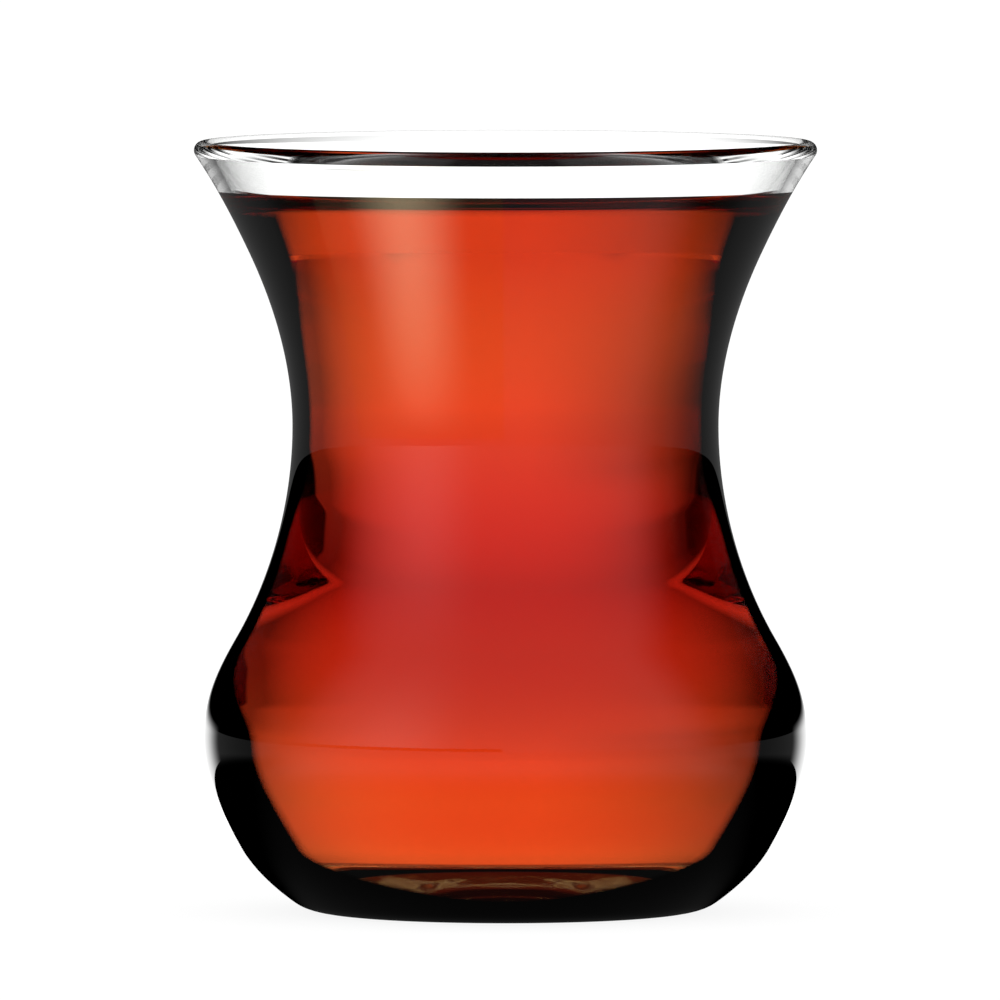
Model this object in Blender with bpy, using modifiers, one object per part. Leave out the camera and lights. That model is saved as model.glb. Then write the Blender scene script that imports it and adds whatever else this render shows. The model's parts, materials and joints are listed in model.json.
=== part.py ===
"""Tulip-shaped tea glass, filled with black tea.

Two turned solids share the upright Z axis, and the glass stands on Z = 0 with the axis through the origin:
the glass, with its rounded lip, its flared mouth, its waist, its round belly and its thick foot with a shallow
hollow underneath, and the tea inside, up to the line where it is poured, with the curved edge where it climbs
the wall. Metres, +Z up.
"""

import math

import bpy
import numpy as np

MM = 0.001

# Overall sizes of the glass
HEIGHT = 82.0 * MM
RIM_RADIUS = 33.1 * MM
LIP_RADIUS = 0.95 * MM

# Outer outline from the mouth down: radius, height, and how far the wall leans out from straight down, in degrees
MOUTH_LEAN = -34.0
FLARE = (27.2 * MM, 70.1 * MM, -25.2)
WAIST = (22.65 * MM, 51.7 * MM, 0.0)
SHOULDER = (28.75 * MM, 28.95 * MM, 30.1)
BELLY = (32.25 * MM, 18.6 * MM, 0.0)
UNDER_BELLY = (28.2 * MM, 7.0 * MM, -29.8)
FOOT_CORNER = (22.5 * MM, 1.1 * MM, -54.4)
FOOT = (17.0 * MM, 0.0, -90.0)

# Foot ring and the hollow under the foot
PUNT_RADIUS = 12.6 * MM
PUNT_DEPTH = 1.3 * MM

# Wall thickness at heights from the bottom of the cavity up to the lip
WALL_HEIGHTS = (12.0 * MM, 18.6 * MM, 51.7 * MM, 76.0 * MM, 80.5 * MM)
WALL_THICKNESSES = (3.0 * MM, 2.4 * MM, 1.8 * MM, 1.55 * MM, 1.9 * MM)

# Rounded bottom of the cavity, below the height where it leaves the even wall
CAVITY_JOIN_HEIGHT = 12.0 * MM
CAVITY_CORNER = (24.9 * MM, 6.9 * MM, -75.0)
CAVITY_FLOOR_EDGE = (14.0 * MM, 5.1 * MM, -86.5)
CAVITY_FLOOR = (0.0, 5.5 * MM, -90.0)

# Tea
TEA_LEVEL = 75.9 * MM
MENISCUS_HEIGHT = 1.5 * MM
MENISCUS_REACH = 1.3 * MM
WALL_GAP = 0.3 * MM

# Fineness of the turned surfaces
TURN_STEPS = 60
LONGEST_STEP = 4.4 * MM
LIP_STEPS = 5
PUNT_STEPS = 4
SURFACE_STEPS = 8
MERGE_DISTANCE = 0.00001

TEA_COLOUR = (0.40, 0.045, 0.020, 1.0)
GLASS_COLOUR = (0.92, 0.94, 0.94, 1.0)


def smooth_outline(stations):
    """Points of one smooth curve through stations of (radius, height, lean), by cubic Hermite spans."""
    points = []
    for (r0, z0, lean0), (r1, z1, lean1) in zip(stations, stations[1:]):
        start, end = np.array((r0, z0)), np.array((r1, z1))
        chord = np.linalg.norm(end - start)
        leave = chord * np.array((math.sin(math.radians(lean0)), -math.cos(math.radians(lean0))))
        arrive = chord * np.array((math.sin(math.radians(lean1)), -math.cos(math.radians(lean1))))
        for t in np.linspace(0.0, 1.0, math.ceil(chord / LONGEST_STEP), endpoint=False):
            point = (
                (2 * t**3 - 3 * t**2 + 1) * start
                + (t**3 - 2 * t**2 + t) * leave
                + (3 * t**2 - 2 * t**3) * end
                + (t**3 - t**2) * arrive
            )
            points.append(point)
    points.append(np.array(stations[-1][:2]))
    return np.array(points)


def inward_offset(points, distances):
    """The outline moved towards the axis, square to itself, by a distance for each point."""
    along = np.gradient(points, axis=0)
    along /= np.linalg.norm(along, axis=1)[:, None]
    towards_axis = np.column_stack((along[:, 1], -along[:, 0]))
    return points + towards_axis * np.asarray(distances)[:, None]


def lip_centre():
    """Centre of the lip's round section."""
    return np.array((RIM_RADIUS - LIP_RADIUS, HEIGHT - LIP_RADIUS))


def mouth_station():
    """Where the outer wall meets the lip, tangent to its round section."""
    lean = math.radians(MOUTH_LEAN)
    radius, height = lip_centre() + LIP_RADIUS * np.array((math.cos(lean), math.sin(lean)))
    return radius, height, MOUTH_LEAN


def outer_outline():
    """Outside of the glass from below the lip to the foot ring."""
    stations = (mouth_station(), FLARE, WAIST, SHOULDER, BELLY, UNDER_BELLY, FOOT_CORNER, FOOT)
    return smooth_outline(stations)


def cavity_outline():
    """Inside of the glass from below the lip to the axis at the bottom of the cavity."""
    outside = outer_outline()
    outside = outside[outside[:, 1] > CAVITY_JOIN_HEIGHT]
    thickness = np.interp(outside[:, 1], WALL_HEIGHTS, WALL_THICKNESSES)
    wall = inward_offset(outside, thickness)
    before, join = wall[-2], wall[-1]
    join_lean = math.degrees(math.atan2(join[0] - before[0], before[1] - join[1]))
    bottom = smooth_outline(((join[0], join[1], join_lean), CAVITY_CORNER, CAVITY_FLOOR_EDGE, CAVITY_FLOOR))
    return np.vstack((wall[:-1], bottom))


def lip_outline():
    """Round of the lip, from the inner wall over the top to the outer wall, without its end points."""
    centre = lip_centre()
    lean = math.radians(MOUTH_LEAN)
    angles = np.linspace(lean + math.pi, lean, LIP_STEPS + 2)[1:-1]
    return centre + LIP_RADIUS * np.column_stack((np.cos(angles), np.sin(angles)))


def punt_outline():
    """Hollow under the foot, from the foot ring to the axis: a dome that meets the ring and the axis flat."""
    radius = PUNT_RADIUS * np.linspace(1.0, 0.0, PUNT_STEPS + 1)
    height = PUNT_DEPTH * (1.0 - (radius / PUNT_RADIUS) ** 2) ** 2
    return np.column_stack((radius, height))


def glass_profile():
    """Section of the glass, from the cavity's floor up the inside, over the lip and down the outside."""
    return np.vstack((cavity_outline()[::-1], lip_outline(), outer_outline(), punt_outline()))


def tea_profile():
    """Section of the tea: its surface from the axis out to the raised edge, then down the wall to the floor."""
    cavity = cavity_outline()
    side = inward_offset(cavity, np.full(len(cavity), WALL_GAP))
    side[-1, 0] = 0.0
    edge_height = TEA_LEVEL + MENISCUS_HEIGHT
    edge_radius = np.interp(edge_height, side[::-1, 1], side[::-1, 0])
    side = side[side[:, 1] < edge_height - MENISCUS_HEIGHT / 2]
    from_edge = edge_radius * np.linspace(1.0, 0.0, SURFACE_STEPS + 1) ** 2.5
    rise = MENISCUS_HEIGHT * np.exp(-from_edge / MENISCUS_REACH)
    return np.vstack((np.column_stack((edge_radius - from_edge, TEA_LEVEL + rise)), side))


def principled(name, colour, roughness, transmission):
    """A plain surface material."""
    material = bpy.data.materials.new(name)
    material.use_nodes = True
    material.diffuse_color = colour
    shader = material.node_tree.nodes["Principled BSDF"]
    shader.inputs["Base Color"].default_value = colour
    shader.inputs["Metallic"].default_value = 0.0
    shader.inputs["Roughness"].default_value = roughness
    shader.inputs["Transmission Weight"].default_value = transmission
    return material


def turned_solid(name, profile, material, collection):
    """One solid turned from a section at +X, whose ends lie on the Z axis."""
    vertices = [(radius, 0.0, height) for radius, height in profile]
    edges = [(i, i + 1) for i in range(len(vertices) - 1)]
    mesh = bpy.data.meshes.new(name)
    mesh.from_pydata(vertices, edges, [])
    mesh.materials.append(material)
    turned = bpy.data.objects.new(name, mesh)
    collection.objects.link(turned)
    screw = turned.modifiers.new("Turn", "SCREW")
    screw.axis = "Z"
    screw.angle = math.tau
    screw.steps = TURN_STEPS
    screw.render_steps = TURN_STEPS
    screw.use_merge_vertices = True
    screw.merge_threshold = MERGE_DISTANCE
    screw.use_smooth_shade = True
    return turned


def main():
    """Builds the glass and the tea in an empty scene."""
    for old in list(bpy.data.objects):
        bpy.data.objects.remove(old)
    collection = bpy.data.collections.new("tea_glass")
    bpy.context.scene.collection.children.link(collection)
    turned_solid("glass", glass_profile(), principled("clear_glass", GLASS_COLOUR, 0.02, 1.0), collection)
    turned_solid("tea", tea_profile(), principled("black_tea", TEA_COLOUR, 0.05, 0.6), collection)


main()
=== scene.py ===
"""Looks of a tulip-shaped tea glass filled with black tea, on a plain pale floor in soft studio light.

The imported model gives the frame. Two finely turned pieces stand for its two solids: the glass, and the tea,
which reaches a little way into the wall of the glass so that no air shows between them. Metres, +Z up.
"""

import json
import logging
import math
from dataclasses import dataclass
from enum import Enum

import bpy
import numpy as np
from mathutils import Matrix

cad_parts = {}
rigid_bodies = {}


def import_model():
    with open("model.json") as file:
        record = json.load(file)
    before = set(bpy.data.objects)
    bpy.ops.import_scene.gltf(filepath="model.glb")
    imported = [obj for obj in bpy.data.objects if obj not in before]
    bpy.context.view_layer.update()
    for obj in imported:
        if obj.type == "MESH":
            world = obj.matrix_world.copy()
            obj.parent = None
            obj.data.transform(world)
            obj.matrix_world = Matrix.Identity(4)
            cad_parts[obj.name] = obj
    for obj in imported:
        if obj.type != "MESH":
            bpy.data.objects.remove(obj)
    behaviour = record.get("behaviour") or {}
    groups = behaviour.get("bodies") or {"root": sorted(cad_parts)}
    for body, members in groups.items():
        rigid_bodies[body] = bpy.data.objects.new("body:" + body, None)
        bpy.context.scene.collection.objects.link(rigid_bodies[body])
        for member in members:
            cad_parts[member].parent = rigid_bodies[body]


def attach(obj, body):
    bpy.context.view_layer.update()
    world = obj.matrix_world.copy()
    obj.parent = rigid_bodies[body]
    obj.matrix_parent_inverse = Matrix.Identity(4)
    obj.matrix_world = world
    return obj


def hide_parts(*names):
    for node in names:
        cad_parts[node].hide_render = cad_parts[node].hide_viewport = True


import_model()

logging.basicConfig(level=logging.INFO, format="%(levelname)s %(message)s")
log = logging.getLogger("tea_glass")

MM = 0.001
SHARP_ANGLE = 50.0


@dataclass(frozen=True)
class Station:
    """A point of an outline, and how far the wall leans out from straight down there, in degrees."""

    radius: float
    height: float
    lean: float

    def place(self) -> np.ndarray:
        """The station's radius and height."""
        return np.array((self.radius, self.height))

    def run(self) -> np.ndarray:
        """The outline's direction at the station, of length 1."""
        lean = math.radians(self.lean)
        return np.array((math.sin(lean), -math.cos(lean)))


class Ray(Enum):
    """The sorts of ray that see a light of their own, by the name of the Light Path output."""

    CAMERA = "Is Camera Ray"
    GLOSSY = "Is Glossy Ray"
    THROUGH_GLASS = "Is Transmission Ray"


def smooth_outline(stations: list[Station], step: float) -> np.ndarray:
    """One smooth curve through stations, as cubic Hermite spans whose tangents are as long as their chords.

    Args:
        stations: The outline's stations, in order.
        step: The longest distance between two points.

    Returns:
        The curve's points, one row of radius and height each.
    """
    spans = []
    for start, end in zip(stations, stations[1:]):
        chord = float(np.linalg.norm(end.place() - start.place()))
        t = np.linspace(0.0, 1.0, math.ceil(chord / step), endpoint=False)[:, None]
        spans.append(
            (2 * t**3 - 3 * t**2 + 1) * start.place()
            + (t**3 - 2 * t**2 + t) * chord * start.run()
            + (3 * t**2 - 2 * t**3) * end.place()
            + (t**3 - t**2) * chord * end.run()
        )
    return np.vstack([*spans, stations[-1].place()])


def moved_inward(outline: np.ndarray, distance: np.ndarray | float) -> np.ndarray:
    """An outline moved square to itself, towards the axis where it runs downwards.

    Args:
        outline: Rows of radius and height.
        distance: How far each point moves.

    Returns:
        The moved outline.
    """
    along = np.gradient(outline, axis=0)
    along /= np.linalg.norm(along, axis=1)[:, None]
    inward = np.column_stack((along[:, 1], -along[:, 0]))
    return outline + inward * np.broadcast_to(distance, len(outline))[:, None]


def turned_mesh(
    name: str, section: np.ndarray, turns: int, finishes: np.ndarray, relief: np.ndarray | float = 0.0
) -> bpy.types.Mesh:
    """A closed mesh turned about the Z axis: x = r cos(a), y = r sin(a), z = height + relief.

    Args:
        name: The mesh's name.
        section: Rows of radius and height, from the axis to the axis, running down the outer side.
        turns: How many steps go around.
        finishes: Number of the material of each band between two rows of the section.
        relief: Heights added to the rings, one row for each inner row of the section.

    Returns:
        The mesh, smooth but for sharp edges.
    """
    rings = section[1:-1]
    count = len(rings)
    angle = np.linspace(0.0, 2.0 * math.pi, turns, endpoint=False)
    grid = np.empty((count, turns, 3))
    grid[:, :, 0] = rings[:, :1] * np.cos(angle)
    grid[:, :, 1] = rings[:, :1] * np.sin(angle)
    grid[:, :, 2] = rings[:, 1:] + relief
    poles = np.array([[0.0, 0.0, section[0, 1]], [0.0, 0.0, section[-1, 1]]])
    points = np.vstack((grid.reshape(-1, 3), poles))

    here = np.arange(turns)
    after = (here + 1) % turns
    row = np.arange(count - 1)[:, None] * turns
    below = row + turns
    quads = np.stack((row + here, below + here, below + after, row + after), axis=2).reshape(-1, 4)
    first, last = count * turns, count * turns + 1
    lowest = (count - 1) * turns
    fan_in = np.column_stack((np.full(turns, first), here, after))
    fan_out = np.column_stack((np.full(turns, last), lowest + after, lowest + here))
    corners = np.concatenate((quads.ravel(), fan_in.ravel(), fan_out.ravel()))
    sizes = np.concatenate((np.full(len(quads), 4), np.full(2 * turns, 3)))

    mesh = bpy.data.meshes.new(name)
    mesh.vertices.add(len(points))
    mesh.vertices.foreach_set("co", points.ravel())
    mesh.loops.add(len(corners))
    mesh.loops.foreach_set("vertex_index", corners.astype(np.int32))
    mesh.polygons.add(len(sizes))
    mesh.polygons.foreach_set("loop_start", np.concatenate(((0,), np.cumsum(sizes)[:-1])).astype(np.int32))
    bands = np.concatenate((np.repeat(finishes[1:-1], turns), np.repeat(finishes[[0, -1]], turns)))
    mesh.polygons.foreach_set("material_index", bands.astype(np.int32))
    mesh.update(calc_edges=True)
    mesh.validate()
    mesh.shade_smooth()
    mesh.set_sharp_from_angle(angle=math.radians(SHARP_ANGLE))
    return mesh


class NodeSheet:
    """A node tree that is filled by short calls, each of which gives back the socket it ends in."""

    def __init__(self, tree: bpy.types.NodeTree) -> None:
        """Empties the tree and keeps it."""
        tree.nodes.clear()
        self.tree = tree

    def node(self, kind: str, **settings: object) -> bpy.types.Node:
        """A new node.

        Args:
            kind: The node's type.
            settings: Its properties, by name.

        Returns:
            The node.
        """
        made = self.tree.nodes.new(kind)
        for name, value in settings.items():
            setattr(made, name, value)
        return made

    def feed(self, socket: bpy.types.NodeSocket, value: object) -> None:
        """Links a socket into an input, or sets the input's plain value."""
        if isinstance(value, bpy.types.NodeSocket):
            self.tree.links.new(value, socket)
        else:
            socket.default_value = value

    def maths(self, operation: str, *values: object) -> bpy.types.NodeSocket:
        """The result of a Math node with the given inputs."""
        made = self.node("ShaderNodeMath", operation=operation)
        for socket, value in zip(made.inputs, values):
            self.feed(socket, value)
        return made.outputs["Value"]

    def ramp(
        self, value: object, start: float, end: float, low: float = 0.0, high: float = 1.0
    ) -> bpy.types.NodeSocket:
        """A value that goes smoothly from low, where the input is at start, to high, where it is at end."""
        made = self.node("ShaderNodeMapRange", interpolation_type="SMOOTHSTEP")
        names = ("Value", "From Min", "From Max", "To Min", "To Max")
        for name, given in zip(names, (value, start, end, low, high)):
            self.feed(made.inputs[name], given)
        return made.outputs["Result"]

    def window(
        self, value: object, rise: tuple[float, float], fall: tuple[float, float]
    ) -> bpy.types.NodeSocket:
        """A value that is 1 between rise and fall, and goes smoothly to 0 on both sides."""
        return self.maths("MULTIPLY", self.ramp(value, *rise), self.ramp(value, *fall, 1.0, 0.0))

    def mixed(self, factor: object, first: object, second: object) -> bpy.types.NodeSocket:
        """A colour between the first, where the factor is 0, and the second, where it is 1."""
        made = self.node("ShaderNodeMix", data_type="RGBA")
        for index, given in ((0, factor), (6, first), (7, second)):
            self.feed(made.inputs[index], given)
        return made.outputs[2]

    def azimuth(self, x: bpy.types.NodeSocket, y: bpy.types.NodeSocket) -> bpy.types.NodeSocket:
        """Azimuth in degrees from +Y, towards +X."""
        return self.maths("MULTIPLY", self.maths("ARCTAN2", x, y), 180.0 / math.pi)

    def radius(self, x: bpy.types.NodeSocket, y: bpy.types.NodeSocket) -> bpy.types.NodeSocket:
        """Distance from the Z axis."""
        squares = self.maths("ADD", self.maths("MULTIPLY", x, x), self.maths("MULTIPLY", y, y))
        return self.maths("SQRT", squares)


@dataclass(frozen=True)
class ClearGlassFinish:
    """Clear, fire-polished soda glass, whose outside can carry painted shade: its colour turns black at a
    slant, standing in for a dark studio seen through it.
    """

    name: str = "clear_soda_glass"
    ior: float = 1.5
    mirrored: float = 1.0
    tint: tuple[float, float, float, float] = (0.985, 0.99, 0.985, 1.0)
    wave_height: float = 0.004 * MM
    waves_per_metre: float = 90.0
    painted_edge_shade: bool = False
    edge_width: float = 0.05
    edge_starts: tuple[tuple[float, float], ...] = (
        (3.0 * MM, 0.4),
        (8.0 * MM, 0.48),
        (19.0 * MM, 0.46),
        (28.0 * MM, 0.74),
        (40.0 * MM, 0.72),
        (48.0 * MM, 0.61),
        (58.0 * MM, 0.61),
        (72.0 * MM, 0.53),
    )
    edge_end: tuple[float, float] = (74.5 * MM, 76.2 * MM)

    def painted_shade_colour(self, sheet: NodeSheet, place: bpy.types.NodeSocket) -> bpy.types.NodeSocket:
        """The tint, with painted shade: black where tea lies behind the wall and the wall is seen at a slant,
        standing in for the dark surroundings seen through the glass.

        Args:
            sheet: The material's nodes.
            place: The place on the piece.

        Returns:
            The colour.
        """
        axes = sheet.node("ShaderNodeSeparateXYZ")
        sheet.feed(axes.inputs["Vector"], place)
        height = axes.outputs["Z"]
        level = self.edge_starts[0][1]
        for (low, start), (high, following) in zip(self.edge_starts, self.edge_starts[1:]):
            level = sheet.maths("ADD", level, sheet.ramp(height, low, high, 0.0, following - start))
        # Painted shade: the glass colour goes black where the wall is seen at a slant, in place of dark
        # surroundings seen through it.
        slant = sheet.node("ShaderNodeLayerWeight").outputs["Facing"]
        painted_shade = sheet.ramp(sheet.maths("SUBTRACT", slant, level), -self.edge_width, 0.0)
        painted_shade = sheet.maths("MULTIPLY", painted_shade, sheet.ramp(height, *self.edge_end, 1.0, 0.0))
        return sheet.mixed(painted_shade, self.tint, (0.0, 0.0, 0.0, 1.0))

    def material(self) -> bpy.types.Material:
        """The glass material, with the slow waves that pressed glass keeps."""
        made = bpy.data.materials.new(self.name)
        made.use_nodes = True
        sheet = NodeSheet(made.node_tree)
        place = sheet.node("ShaderNodeTexCoord").outputs["Object"]
        noise = sheet.node("ShaderNodeTexNoise", noise_dimensions="3D")
        sheet.feed(noise.inputs["Vector"], place)
        sheet.feed(noise.inputs["Scale"], self.waves_per_metre)
        sheet.feed(noise.inputs["Detail"], 1.0)
        bump = sheet.node("ShaderNodeBump")
        sheet.feed(bump.inputs["Strength"], 1.0)
        sheet.feed(bump.inputs["Distance"], self.wave_height)
        sheet.feed(bump.inputs["Height"], noise.outputs["Fac"])
        shader = sheet.node("ShaderNodeBsdfPrincipled")
        for name, value in (
            ("Base Color", self.painted_shade_colour(sheet, place) if self.painted_edge_shade else self.tint),
            ("Metallic", 0.0),
            ("Roughness", 0.0),
            ("IOR", self.ior),
            ("Transmission Weight", 1.0),
            ("Specular Tint", (self.mirrored, self.mirrored, self.mirrored, 1.0)),
            ("Normal", bump.outputs["Normal"]),
        ):
            sheet.feed(shader.inputs[name], value)
        out = sheet.node("ShaderNodeOutputMaterial")
        sheet.feed(out.inputs["Surface"], shader.outputs["BSDF"])
        return made


@dataclass(frozen=True)
class TeaFinish:
    """Strong black tea: clear and red-brown, with painted light and shade in its tint: more crimson at the
    height of the glass's shoulder and darker at the very bottom.

    Mirrored is 1 for the open surface, and 0 where the tea reaches into the wall.
    """

    name: str = "black_tea"
    ior: float = 1.333
    density: float = 112.0
    kept: tuple[float, float, float, float] = (0.92, 0.55, 0.33, 1.0)
    orange: tuple[float, float, float, float] = (0.98, 0.9, 0.6, 1.0)
    upper: tuple[float, float, float, float] = (0.8, 0.38, 0.15, 1.0)
    crimson_painted_shade: tuple[float, float, float, float] = (0.95, 0.13, 0.15, 1.0)
    crimson_shade_rise: tuple[float, float] = (10.0 * MM, 28.0 * MM)
    crimson_shade_fall: tuple[float, float] = (34.0 * MM, 67.0 * MM)
    bottom: tuple[float, float, float, float] = (0.72, 0.6, 0.4, 1.0)
    bottom_shade_end: tuple[float, float] = (6.8 * MM, 8.8 * MM)
    mirrored: float = 0.0

    def material(self) -> bpy.types.Material:
        """The tea material: absorption through the depth, and a tint that changes with height, which paints
        light and shade.
        """
        made = bpy.data.materials.new(self.name)
        made.use_nodes = True
        sheet = NodeSheet(made.node_tree)
        place = sheet.node("ShaderNodeTexCoord").outputs["Object"]
        height = sheet.node("ShaderNodeSeparateXYZ")
        sheet.feed(height.inputs["Vector"], place)
        # Painted light and shade: the tint darkens at the very bottom and turns crimson around the shoulder,
        # following the light, not the tea.
        low = sheet.mixed(sheet.ramp(height.outputs["Z"], *self.bottom_shade_end), self.bottom, self.orange)
        painted_deep_shade = sheet.mixed(sheet.ramp(height.outputs["Z"], *self.crimson_shade_rise), low, self.crimson_painted_shade)
        tint = sheet.mixed(sheet.ramp(height.outputs["Z"], *self.crimson_shade_fall), painted_deep_shade, self.upper)
        shader = sheet.node("ShaderNodeBsdfPrincipled")
        for name, value in (
            ("Base Color", tint),
            ("Metallic", 0.0),
            ("Roughness", 0.0),
            ("IOR", self.ior),
            ("Transmission Weight", 1.0),
            ("Specular Tint", (self.mirrored, self.mirrored, self.mirrored, 1.0)),
        ):
            sheet.feed(shader.inputs[name], value)
        absorption = sheet.node("ShaderNodeVolumeAbsorption")
        sheet.feed(absorption.inputs["Color"], self.kept)
        sheet.feed(absorption.inputs["Density"], self.density)
        out = sheet.node("ShaderNodeOutputMaterial")
        sheet.feed(out.inputs["Surface"], shader.outputs["BSDF"])
        sheet.feed(out.inputs["Volume"], absorption.outputs["Volume"])
        return made


@dataclass
class GlassBody:
    """The glass: lip, flared mouth, waist, belly, thick foot and the hollow under it."""

    height: float = 82.0 * MM
    rim_radius: float = 33.1 * MM
    lip_radius: float = 0.95 * MM
    mouth_lean: float = -34.0
    sides: tuple[Station, ...] = (
        Station(27.2 * MM, 70.1 * MM, -25.2),
        Station(22.65 * MM, 51.7 * MM, 0.0),
        Station(28.75 * MM, 28.95 * MM, 30.1),
        Station(32.25 * MM, 18.6 * MM, 0.0),
        Station(28.2 * MM, 7.0 * MM, -29.8),
        Station(22.5 * MM, 1.1 * MM, -54.4),
        Station(17.0 * MM, 0.0, -90.0),
    )
    punt_radius: float = 12.6 * MM
    punt_depth: float = 1.3 * MM
    wall_heights: tuple[float, ...] = (12.0 * MM, 18.6 * MM, 51.7 * MM, 76.0 * MM, 80.5 * MM)
    wall_thicknesses: tuple[float, ...] = (3.0 * MM, 2.4 * MM, 1.8 * MM, 1.55 * MM, 1.9 * MM)
    cavity_join_height: float = 12.0 * MM
    cavity_bottom: tuple[Station, ...] = (
        Station(24.9 * MM, 6.9 * MM, -75.0),
        Station(14.0 * MM, 5.1 * MM, -86.5),
        Station(0.0, 5.5 * MM, -90.0),
    )
    ripple_height: float = 0.026 * MM
    ripple_length: float = 3.0 * MM
    ripple_reach: float = 20.0 * MM
    step: float = 0.6 * MM
    turns: int = 192
    tea_line: float = 77.3 * MM
    lip_points: int = 26
    punt_points: int = 30
    finish: ClearGlassFinish = ClearGlassFinish(painted_edge_shade=True)
    wet_finish: ClearGlassFinish = ClearGlassFinish("glass_against_tea", mirrored=0.0)
    lip_finish: ClearGlassFinish = ClearGlassFinish("glass_lip", ior=1.12)

    def lip_centre(self) -> np.ndarray:
        """Centre of the lip's round section."""
        return np.array((self.rim_radius - self.lip_radius, self.height - self.lip_radius))

    def outer(self) -> np.ndarray:
        """Outside of the glass, from below the lip to the foot ring."""
        lean = math.radians(self.mouth_lean)
        radius, height = self.lip_centre() + self.lip_radius * np.array((math.cos(lean), math.sin(lean)))
        return smooth_outline([Station(radius, height, self.mouth_lean), *self.sides], self.step)

    def cavity(self) -> np.ndarray:
        """Inside of the glass, from below the lip to the axis at the floor."""
        outside = self.outer()
        outside = outside[outside[:, 1] > self.cavity_join_height]
        wall = moved_inward(outside, np.interp(outside[:, 1], self.wall_heights, self.wall_thicknesses))
        before, join = wall[-2], wall[-1]
        lean = math.degrees(math.atan2(join[0] - before[0], before[1] - join[1]))
        bottom = smooth_outline([Station(join[0], join[1], lean), *self.cavity_bottom], self.step)
        return np.vstack((wall[:-1], bottom))

    def lip(self) -> np.ndarray:
        """Round of the lip, from the inner wall over the top to the outer wall, without its end points."""
        lean = math.radians(self.mouth_lean)
        angle = np.linspace(lean + math.pi, lean, self.lip_points)[1:-1]
        return self.lip_centre() + self.lip_radius * np.column_stack((np.cos(angle), np.sin(angle)))

    def punt(self) -> np.ndarray:
        """Hollow under the foot: height = depth times (1 - (r / radius) squared) squared."""
        radius = self.punt_radius * np.linspace(1.0, 0.0, self.punt_points)
        return np.column_stack((radius, self.punt_depth * (1.0 - (radius / self.punt_radius) ** 2) ** 2))

    def section(self) -> np.ndarray:
        """The whole section, from the cavity's floor up the inside, over the lip and down the outside."""
        return np.vstack((self.cavity()[::-1], self.lip(), self.outer(), self.punt()))

    def swirl(self, section: np.ndarray) -> np.ndarray:
        """Round ripples that the mould leaves in the middle of the foot, above and below.

        The relief is ripple height times sin(2 pi r / ripple length), and fades out towards the ripple reach.

        Args:
            section: The section that the ripples lie on.

        Returns:
            Heights to add, one row for each inner row of the section.
        """
        radius, height = section[1:-1, :1], section[1:-1, 1:]
        near = np.clip(1.0 - radius / self.ripple_reach, 0.0, 1.0) * (height < self.cavity_join_height)
        fade = near * np.clip(radius / self.ripple_length, 0.0, 1.0)
        return self.ripple_height * fade * np.sin(2.0 * math.pi * radius / self.ripple_length)

    def build(self) -> bpy.types.Object:
        """Makes the glass and hides the imported glass that it stands for."""
        section = self.section()
        band = np.arange(len(section) - 1)
        inner = len(self.cavity())
        wet = (band < inner) & (section[1:, 1] < self.tea_line)
        lip = (band >= inner - 1) & (band < inner + len(self.lip()))
        mesh = turned_mesh("glass_body", section, self.turns, wet + 2 * lip, self.swirl(section))
        for finish in (self.finish, self.wet_finish, self.lip_finish):
            mesh.materials.append(finish.material())
        made = bpy.data.objects.new("glass_body", mesh)
        bpy.context.scene.collection.objects.link(made)
        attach(made, "root")
        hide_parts("glass")
        log.info("glass body: %d points", len(mesh.vertices))
        return made


@dataclass
class TeaFill:
    """The tea in the glass, with the curved edge where it climbs the wall."""

    glass: GlassBody
    level: float = 75.9 * MM
    meniscus_height: float = 1.5 * MM
    meniscus_reach: float = 1.3 * MM
    into_wall: float = 0.06 * MM
    surface_steps: int = 60
    surface_power: float = 2.5
    edge_margin: float = 0.2 * MM
    finish: TeaFinish = TeaFinish()
    open_finish: TeaFinish = TeaFinish("tea_surface", mirrored=1.0)

    def section(self) -> np.ndarray:
        """The tea's section: its surface from the axis outwards, then down inside the wall to the floor.

        The surface rises by the meniscus height times exp(-distance from the wall / meniscus reach).

        Returns:
            Rows of radius and height.
        """
        side = moved_inward(self.glass.cavity(), -self.into_wall)
        side[-1, 0] = 0.0
        edge_height = self.level + self.meniscus_height
        edge_radius = float(np.interp(edge_height, side[::-1, 1], side[::-1, 0]))
        side = side[side[:, 1] < edge_height - self.edge_margin]
        from_edge = edge_radius * np.linspace(1.0, 0.0, self.surface_steps) ** self.surface_power
        rise = self.meniscus_height * np.exp(-from_edge / self.meniscus_reach)
        return np.vstack((np.column_stack((edge_radius - from_edge, self.level + rise)), side))

    def build(self) -> bpy.types.Object:
        """Makes the tea and hides the imported tea that it stands for."""
        section = self.section()
        is_open = np.arange(len(section) - 1) < self.surface_steps - 1
        mesh = turned_mesh("tea_fill", section, self.glass.turns, is_open.astype(int))
        mesh.materials.append(self.finish.material())
        mesh.materials.append(self.open_finish.material())
        made = bpy.data.objects.new("tea_fill", mesh)
        bpy.context.scene.collection.objects.link(made)
        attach(made, "root")
        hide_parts("tea")
        log.info("tea fill: %d points", len(mesh.vertices))
        return made


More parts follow.
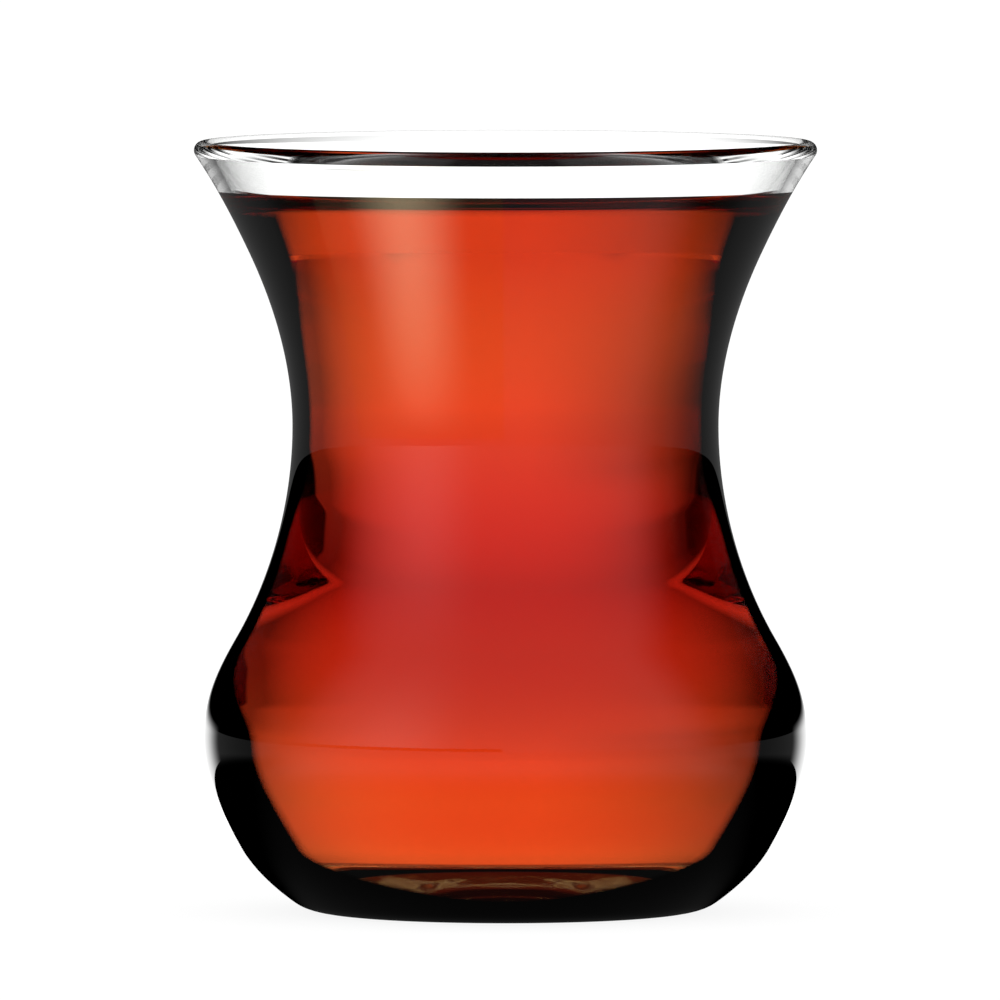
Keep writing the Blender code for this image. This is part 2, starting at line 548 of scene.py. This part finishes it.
@dataclass
class Studio:
    """The pale floor, the soft lights around the glass, and the camera.

    Azimuths are in degrees from +Y, towards +X. Rays through the glass see a bright panel behind it, lights at
    both sides, and dark gaps between them, and the floor carries the same lights on towards the glass as
    painted light in its own glow.
    """

    floor_radius: float = 9.0
    floor_colour: tuple[float, float, float, float] = (0.9, 0.9, 0.9, 1.0)
    floor_shaded: float = 0.15
    soft_light: float = 1.2
    white: float = 1.05
    panel: float = 1.5
    panel_rise: tuple[float, float] = (-50.0, -2.0)
    panel_fall: tuple[float, float] = (9.0, 48.0)
    panel_rest: tuple[float, float] = (0.12, 0.35)
    rest_blend: float = 5.0
    rest_edge: tuple[float, float] = (43.5, 46.5)
    sides: float = 0.9
    side_rise: tuple[float, float] = (66.0, 80.0)
    side_fall: tuple[float, float] = (140.0, 155.0)
    panel_top: tuple[float, float] = (19.5, 24.5)
    panel_lift: tuple[float, float, float] = (13.0, 26.0, 15.0)
    shade: float = 0.022
    shade_start: float = 3.0
    shade_top: tuple[float, float] = (-4.0, 24.0)
    shade_floor: tuple[float, float] = (200.0 * MM, 350.0 * MM)
    high_light: float = 0.13
    high_span: tuple[float, float] = (14.0, 26.0)
    high_top: tuple[float, float] = (32.0, 40.0)
    side_top: tuple[float, float] = (8.0, 18.0)
    sky: float = 0.02
    painted_foot_shadow: tuple[float, float] = (32.0 * MM, 52.0 * MM)
    painted_near_shadow: float = 0.45
    near_power: float = 0.6
    near_spread: float = 75.0 * MM
    spread_power: float = 1.75
    narrow_rise: tuple[float, float] = (66.0 * MM, 90.0 * MM)
    narrow_falls: tuple[tuple[tuple[float, float], float], ...] = (
        ((138.0 * MM, 165.0 * MM), 0.28),
        ((165.0 * MM, 450.0 * MM), 0.17),
    )
    near_light: float = 0.5
    skirt: float = 0.95
    skirt_rest: float = 0.15
    skirt_end: tuple[float, float] = (62.0 * MM, 76.0 * MM)
    skirt_edge: tuple[float, float] = (28.0, 52.0)
    side_foot: float = 0.3
    side_foot_span: tuple[float, float, float, float] = (40.0, 52.0, 100.0, 115.0)
    side_foot_end: tuple[float, float] = (50.0 * MM, 75.0 * MM)
    side_sky: float = 0.3
    side_sky_span: tuple[float, float, float, float] = (52.0, 66.0, 130.0, 145.0)
    side_sky_start: tuple[float, float] = (30.0, 38.0)
    front_glow: float = 0.4
    front_start: tuple[float, float] = (85.0, 115.0)
    floor_glow: float = 0.32
    side_floor_glow: float = 0.1
    foot_glow: float = 0.08
    near_glow: tuple[float, float] = (50.0 * MM, 90.0 * MM)
    glow_start: tuple[float, float] = (100.0 * MM, 165.0 * MM)
    top_glow: float = 0.5
    behind_edge: tuple[float, float] = (60.0, 90.0)
    high_behind: tuple[float, float] = (45.0, 60.0)
    overhead: tuple[float, float] = (62.0, 75.0)
    key_tail: float = 0.5
    key_span: tuple[float, float, float, float] = (-169.0, -137.0, -137.0, -105.0)
    key_top: tuple[float, float] = (5.0, 70.0)
    camera_distance: float = 2.5
    camera_elevation: float = 3.0
    camera_offset: tuple[float, float] = (-0.585 * MM, 43.76 * MM)
    frame_width: float = 106.4 * MM
    sensor: float = 36.0

    def panel_light(self, sheet: NodeSheet, azimuth: bpy.types.NodeSocket) -> bpy.types.NodeSocket:
        """The light of the panel behind the glass, by azimuth: bright in the middle, dim further out."""
        bright = sheet.maths("MULTIPLY", sheet.window(azimuth, self.panel_rise, self.panel_fall), self.panel)
        right, left = self.panel_rest
        rest = sheet.ramp(azimuth, -self.rest_blend, self.rest_blend, right, left)
        away = sheet.maths("ABSOLUTE", azimuth)
        rest = sheet.maths("MULTIPLY", rest, sheet.ramp(away, *self.rest_edge, 1.0, 0.0))
        return sheet.maths("MAXIMUM", bright, rest)

    def right_shade(
        self, sheet: NodeSheet, azimuth: bpy.types.NodeSocket, low: bpy.types.NodeSocket
    ) -> bpy.types.NodeSocket:
        """How much of the panel is left on the right: exp(shade times azimuth) where low is 1."""
        turned = sheet.maths("MINIMUM", sheet.maths("ADD", azimuth, self.shade_start), 0.0)
        lost = sheet.maths("MULTIPLY", sheet.maths("MULTIPLY", turned, self.shade), low)
        return sheet.maths("EXPONENT", lost)

    def side_light(self, sheet: NodeSheet, azimuth: bpy.types.NodeSocket) -> bpy.types.NodeSocket:
        """The light from both sides, by azimuth."""
        away = sheet.maths("ABSOLUTE", azimuth)
        return sheet.maths("MULTIPLY", sheet.window(away, self.side_rise, self.side_fall), self.sides)

    def is_ray(self, sheet: NodeSheet, sort: Ray) -> bpy.types.NodeSocket:
        """1 for rays of one sort, and 0 for the others."""
        return sheet.node("ShaderNodeLightPath").outputs[sort.value]

    def light_world(self) -> None:
        """Sets the light around the scene by direction, for each sort of ray."""
        world = bpy.data.worlds.new("studio_light")
        bpy.context.scene.world = world
        world.use_nodes = True
        sheet = NodeSheet(world.node_tree)
        direction = sheet.node("ShaderNodeSeparateXYZ")
        sheet.feed(direction.inputs["Vector"], sheet.node("ShaderNodeTexCoord").outputs["Generated"])
        azimuth = sheet.azimuth(direction.outputs["X"], direction.outputs["Y"])
        away = sheet.maths("ABSOLUTE", azimuth)
        elevation = sheet.maths("MULTIPLY", sheet.maths("ARCSINE", direction.outputs["Z"]), 180.0 / math.pi)

        lift_start, lift_end, lift = self.panel_lift
        raised = sheet.ramp(away, lift_start, lift_end, 0.0, lift)
        top = sheet.ramp(sheet.maths("SUBTRACT", elevation, raised), *self.panel_top, 1.0, 0.0)
        shaded = self.right_shade(sheet, azimuth, sheet.ramp(elevation, *self.shade_top, 1.0, 0.0))
        panel = sheet.maths("MULTIPLY", self.panel_light(sheet, azimuth), top)
        panel = sheet.maths("MULTIPLY", panel, shaded)
        faint = sheet.ramp(away, *self.high_span, self.high_light, 0.0)
        faint = sheet.maths("MULTIPLY", faint, sheet.ramp(elevation, *self.high_top, 1.0, 0.0))
        panel = sheet.maths("MAXIMUM", panel, faint)
        low_down = sheet.ramp(elevation, *self.side_top, 1.0, 0.0)
        sides = sheet.maths("MULTIPLY", self.side_light(sheet, azimuth), low_down)
        span = self.side_sky_span
        high = sheet.window(away, span[:2], span[2:])
        high = sheet.maths("MULTIPLY", high, sheet.ramp(elevation, *self.side_sky_start, 0.0, self.side_sky))
        through = sheet.maths("MAXIMUM", sheet.maths("ADD", panel, sides), sheet.maths("ADD", high, self.sky))

        behind = sheet.ramp(away, *self.behind_edge, 1.0, 0.0)
        above = sheet.maths("MULTIPLY", sheet.ramp(elevation, *self.high_behind), behind)
        above = sheet.maths("MAXIMUM", above, sheet.ramp(elevation, *self.overhead))
        front = sheet.ramp(away, *self.front_start, 0.0, self.front_glow)
        tail = sheet.window(azimuth, self.key_span[:2], self.key_span[2:])
        tail = sheet.maths("MULTIPLY", tail, sheet.ramp(elevation, *self.key_top, self.key_tail, 0.0))
        front = sheet.maths("ADD", front, tail)
        glossy = sheet.maths("MAXIMUM", sheet.maths("MULTIPLY", above, self.top_glow), front)

        light = sheet.node("ShaderNodeValue").outputs[0]
        light.default_value = self.soft_light
        for sort, value in ((Ray.GLOSSY, glossy), (Ray.THROUGH_GLASS, through), (Ray.CAMERA, self.white)):
            made = sheet.node("ShaderNodeMix", data_type="FLOAT")
            sheet.feed(made.inputs[0], self.is_ray(sheet, sort))
            sheet.feed(made.inputs[2], light)
            sheet.feed(made.inputs[3], value)
            light = made.outputs[0]
        background = sheet.node("ShaderNodeBackground")
        sheet.feed(background.inputs["Color"], (1.0, 1.0, 1.0, 1.0))
        sheet.feed(background.inputs["Strength"], light)
        out = sheet.node("ShaderNodeOutputWorld")
        sheet.feed(out.inputs["Surface"], background.outputs["Background"])

    def floor_material(self) -> bpy.types.Material:
        """White floor with a faint shadow; to rays through the glass it glows with painted light and shade
        instead, and is dark close to the foot, a painted shadow.
        """
        made = bpy.data.materials.new("pale_floor")
        made.use_nodes = True
        sheet = NodeSheet(made.node_tree)
        place = sheet.node("ShaderNodeSeparateXYZ")
        sheet.feed(place.inputs["Vector"], sheet.node("ShaderNodeTexCoord").outputs["Object"])
        x, y = place.outputs["X"], place.outputs["Y"]
        radius = sheet.radius(x, y)
        azimuth = sheet.azimuth(x, y)
        away = sheet.maths("ABSOLUTE", azimuth)

        # Painted light and shade: for rays through the glass the floor glows with the studio's lights, dimmed
        # by a painted shadow near the glass and the foot.
        spread = sheet.maths("POWER", sheet.maths("DIVIDE", self.near_spread, radius), self.spread_power)
        for fall, share in self.narrow_falls:
            narrow = sheet.window(radius, self.narrow_rise, fall)
            spread = sheet.maths("ADD", spread, sheet.maths("MULTIPLY", narrow, share))
        seen_from_glass = sheet.maths("MULTIPLY", azimuth, sheet.maths("ADD", spread, 1.0))
        around = self.panel_light(sheet, seen_from_glass)
        far = sheet.ramp(radius, *self.shade_floor)
        around = sheet.maths("MULTIPLY", around, self.right_shade(sheet, azimuth, far))
        around = sheet.maths("ADD", around, self.side_light(sheet, azimuth))
        loss = sheet.maths("POWER", sheet.maths("DIVIDE", self.near_spread, radius), self.near_power)
        nearer = sheet.maths("SUBTRACT", 1.0, sheet.maths("MULTIPLY", loss, self.painted_near_shadow))
        around = sheet.maths("MULTIPLY", around, sheet.maths("MAXIMUM", nearer, self.near_light))
        skirt = sheet.ramp(away, *self.skirt_edge, self.skirt, self.skirt_rest)
        skirt = sheet.maths("MULTIPLY", skirt, sheet.ramp(radius, *self.skirt_end, 1.0, 0.0))
        around = sheet.maths("MAXIMUM", around, skirt)
        around = sheet.maths("MULTIPLY", around, sheet.ramp(radius, *self.painted_foot_shadow))
        span = self.side_foot_span
        foot = sheet.maths("MULTIPLY", sheet.window(away, span[:2], span[2:]), self.side_foot)
        foot = sheet.maths("MULTIPLY", foot, sheet.ramp(radius, *self.side_foot_end, 1.0, 0.0))
        through = sheet.maths("MAXIMUM", around, foot)

        diffuse = sheet.node("ShaderNodeBsdfDiffuse")
        sheet.feed(diffuse.inputs["Color"], self.floor_colour)
        white = sheet.node("ShaderNodeEmission")
        sheet.feed(white.inputs["Strength"], self.white)
        seen = sheet.node("ShaderNodeMixShader")
        sheet.feed(seen.inputs[0], self.floor_shaded)
        sheet.feed(seen.inputs[1], white.outputs[0])
        sheet.feed(seen.inputs[2], diffuse.outputs[0])
        glow = sheet.node("ShaderNodeEmission")
        light = sheet.node("ShaderNodeMix", data_type="FLOAT")
        sheet.feed(light.inputs[0], self.is_ray(sheet, Ray.THROUGH_GLASS))
        # Painted light: reflections see the floor glow, brighter in front of the glass.
        behind = sheet.ramp(radius, *self.glow_start, 0.0, self.side_floor_glow)
        behind = sheet.maths("MULTIPLY", behind, sheet.ramp(away, *self.front_start, 1.0, 0.0))
        in_front = sheet.ramp(away, *self.front_start, 0.0, self.floor_glow)
        in_front = sheet.maths("MULTIPLY", in_front, sheet.ramp(radius, *self.near_glow, self.foot_glow, 1.0))
        sheet.feed(light.inputs[2], sheet.maths("ADD", behind, in_front))
        sheet.feed(light.inputs[3], through)
        sheet.feed(glow.inputs["Strength"], light.outputs[0])
        both = sheet.node("ShaderNodeMixShader")
        sheet.feed(both.inputs[0], self.is_ray(sheet, Ray.CAMERA))
        sheet.feed(both.inputs[1], glow.outputs[0])
        sheet.feed(both.inputs[2], seen.outputs[0])
        out = sheet.node("ShaderNodeOutputMaterial")
        sheet.feed(out.inputs["Surface"], both.outputs[0])
        return made

    def lay_floor(self) -> bpy.types.Object:
        """A wide flat floor at Z = 0."""
        r = self.floor_radius
        mesh = bpy.data.meshes.new("floor")
        mesh.from_pydata([(-r, -r, 0.0), (r, -r, 0.0), (r, r, 0.0), (-r, r, 0.0)], [], [(0, 1, 2, 3)])
        mesh.materials.append(self.floor_material())
        made = bpy.data.objects.new("floor", mesh)
        bpy.context.scene.collection.objects.link(made)
        return made

    def place_camera(self) -> bpy.types.Object:
        """The camera, in front of the glass and a little above it, with a long lens."""
        data = bpy.data.cameras.new("camera")
        data.sensor_width = self.sensor
        data.lens = self.sensor * self.camera_distance / self.frame_width
        data.clip_start = 0.1
        data.clip_end = 50.0
        tilt = math.radians(self.camera_elevation)
        across, up = self.camera_offset
        made = bpy.data.objects.new("camera", data)
        made.location = (
            across,
            -self.camera_distance * math.cos(tilt) + up * math.sin(tilt),
            self.camera_distance * math.sin(tilt) + up * math.cos(tilt),
        )
        made.rotation_euler = (math.pi / 2 - tilt, 0.0, 0.0)
        bpy.context.scene.collection.objects.link(made)
        bpy.context.scene.camera = made
        return made

    def set_picture(self) -> None:
        """Plain colours, and light paths long enough for glass inside glass."""
        scene = bpy.context.scene
        scene.view_settings.view_transform = "Standard"
        scene.view_settings.look = "None"
        scene.cycles.max_bounces = 32
        scene.cycles.transmission_bounces = 32
        scene.cycles.glossy_bounces = 16
        scene.cycles.transparent_max_bounces = 16
        scene.cycles.caustics_reflective = False
        scene.cycles.caustics_refractive = False
        scene.cycles.use_denoising = True

    def build(self) -> None:
        """Makes the studio."""
        self.place_camera()
        self.lay_floor()
        self.light_world()
        self.set_picture()
        log.info("studio: floor, lights and camera")


def upright_card_mesh(
    name: str, half_width: float, distance: float, bottom: float, top: float
) -> bpy.types.Mesh:
    """An upright rectangle behind the glass that faces it."""
    across, heights = (-half_width, half_width, half_width, -half_width), (bottom, bottom, top, top)
    corners = [(x, distance, z) for x, z in zip(across, heights)]
    made = bpy.data.meshes.new(name)
    made.from_pydata(corners, [], [(0, 1, 2, 3)])
    return made


@dataclass
class GlowCard:
    """A glowing card that the camera doesn't see: reflections see it, or else only rays through the glass."""

    name: str
    glow: float
    colour: tuple[float, float, float, float] = (1.0, 1.0, 1.0, 1.0)
    through_glass: bool = False

    def strength(self, sheet: NodeSheet) -> bpy.types.NodeSocket | float:
        """How brightly the card glows at each place: the same all over, unless a card says otherwise."""
        return self.glow

    def cover(self, sheet: NodeSheet) -> bpy.types.NodeSocket | float:
        """How solid the card is at each place; where it is 0, the card is clear."""
        return 1.0

    def mesh(self) -> bpy.types.Mesh:
        """The card's mesh."""
        raise NotImplementedError

    def place(self, sheet: NodeSheet) -> bpy.types.Node:
        """The node that gives the place on the card, as X, Y and Z."""
        made = sheet.node("ShaderNodeSeparateXYZ")
        sheet.feed(made.inputs["Vector"], sheet.node("ShaderNodeTexCoord").outputs["Object"])
        return made

    def build(self) -> bpy.types.Object:
        """Makes the card and hides it from the rays that it isn't for."""
        material = bpy.data.materials.new(self.name)
        material.use_nodes = True
        sheet = NodeSheet(material.node_tree)
        light = sheet.node("ShaderNodeEmission")
        sheet.feed(light.inputs["Color"], self.colour)
        sheet.feed(light.inputs["Strength"], self.strength(sheet))
        faded = sheet.node("ShaderNodeMixShader")
        sheet.feed(faded.inputs[0], self.cover(sheet))
        sheet.feed(faded.inputs[1], sheet.node("ShaderNodeBsdfTransparent").outputs[0])
        sheet.feed(faded.inputs[2], light.outputs[0])
        sheet.feed(sheet.node("ShaderNodeOutputMaterial").inputs["Surface"], faded.outputs[0])
        mesh = self.mesh()
        mesh.materials.append(material)
        made = bpy.data.objects.new(self.name, mesh)
        bpy.context.scene.collection.objects.link(made)
        made.visible_camera = False
        made.visible_diffuse = False
        made.visible_shadow = False
        made.visible_transmission = self.through_glass
        made.visible_glossy = not self.through_glass
        log.info("card: %s", self.name)
        return made


@dataclass
class TableCard(GlowCard):
    """A level, warm white card at the front left, which puts the soft stripe on the glass."""

    name: str = "table_card"
    glow: float = 4.4
    low_glow: tuple[float, float] = (0.1, 0.32)
    low_span: tuple[float, float] = (85.0, 115.0)
    colour: tuple[float, float, float, float] = (1.0, 0.88, 0.55, 1.0)
    azimuth: float = -137.0
    half_width: float = 29.0
    height: float = 20.0 * MM
    inner: float = 45.0 * MM
    outer: float = 900.0 * MM
    full_at: float = 60.0 * MM
    fade_power: float = 1.5
    reach: float = 42.0
    steps: int = 28

    def mesh(self) -> bpy.types.Mesh:
        """A quarter ring: x = r sin(a), y = r cos(a), at the card's height."""
        count = self.steps + 1
        angle = np.radians(np.linspace(self.azimuth - self.reach, self.azimuth + self.reach, count))
        radius = np.array((self.inner, self.outer))[:, None]
        height = np.full((2, count), self.height)
        grid = np.stack((radius * np.sin(angle), radius * np.cos(angle), height), axis=2)
        here = np.arange(self.steps)
        faces = np.column_stack((here, here + 1, here + count + 1, here + count))
        made = bpy.data.meshes.new(self.name)
        made.from_pydata(grid.reshape(-1, 3), [], faces.tolist())
        return made

    def strength(self, sheet: NodeSheet) -> bpy.types.NodeSocket:
        """Bright close to the glass and in the middle of the quarter ring, dim elsewhere."""
        place = self.place(sheet)
        x, y = place.outputs["X"], place.outputs["Y"]
        radius = sheet.radius(x, y)
        azimuth = sheet.azimuth(x, y)
        middle, half = self.azimuth, self.half_width
        across = sheet.window(azimuth, (middle - half, middle), (middle, middle + half))
        along = sheet.maths("POWER", sheet.maths("DIVIDE", self.full_at, radius), self.fade_power)
        along = sheet.maths("MULTIPLY", along, self.glow)
        low = sheet.ramp(sheet.maths("ABSOLUTE", azimuth), *self.low_span, *self.low_glow)
        light = sheet.maths("ADD", sheet.maths("MULTIPLY", across, along), low)
        above = sheet.maths("SUBTRACT", 1.0, sheet.node("ShaderNodeNewGeometry").outputs["Backfacing"])
        return sheet.maths("MULTIPLY", light, above)


@dataclass
class BackCard(GlowCard):
    """A low standing card behind the glass, which whitens the very edge of the belly."""

    name: str = "back_card"
    glow: float = 2.0
    distance: float = 75.0 * MM
    half_width: float = 110.0 * MM
    top: float = 24.0 * MM
    side_fade: tuple[float, float] = (64.0 * MM, 100.0 * MM)
    top_fade: tuple[float, float] = (17.0 * MM, 24.0 * MM)

    def mesh(self) -> bpy.types.Mesh:
        """A low upright rectangle on the floor."""
        return upright_card_mesh(self.name, self.half_width, self.distance, 0.0, self.top)

    def cover(self, sheet: NodeSheet) -> bpy.types.NodeSocket:
        """Solid in the middle, fading to the sides and to the top."""
        place = self.place(sheet)
        across = sheet.ramp(sheet.maths("ABSOLUTE", place.outputs["X"]), *self.side_fade, 1.0, 0.0)
        return sheet.maths("MULTIPLY", across, sheet.ramp(place.outputs["Z"], *self.top_fade, 1.0, 0.0))


@dataclass
class LipCard(GlowCard):
    """A white card over the back of the rim, which clears the round of the lip."""

    name: str = "lip_card"
    glow: float = 1.05
    through_glass: bool = True
    distance: float = 45.0 * MM
    half_width: float = 70.0 * MM
    bottom: float = 97.0 * MM
    top: float = 220.0 * MM

    def mesh(self) -> bpy.types.Mesh:
        """An upright rectangle above the rim."""
        return upright_card_mesh(self.name, self.half_width, self.distance, self.bottom, self.top)


def main() -> None:
    """Builds the glass, the tea and the studio."""
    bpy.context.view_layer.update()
    glass = GlassBody()
    glass.build()
    TeaFill(glass).build()
    Studio().build()
    TableCard().build()
    BackCard().build()
    LipCard().build()


if __name__ == "__main__":
    main()
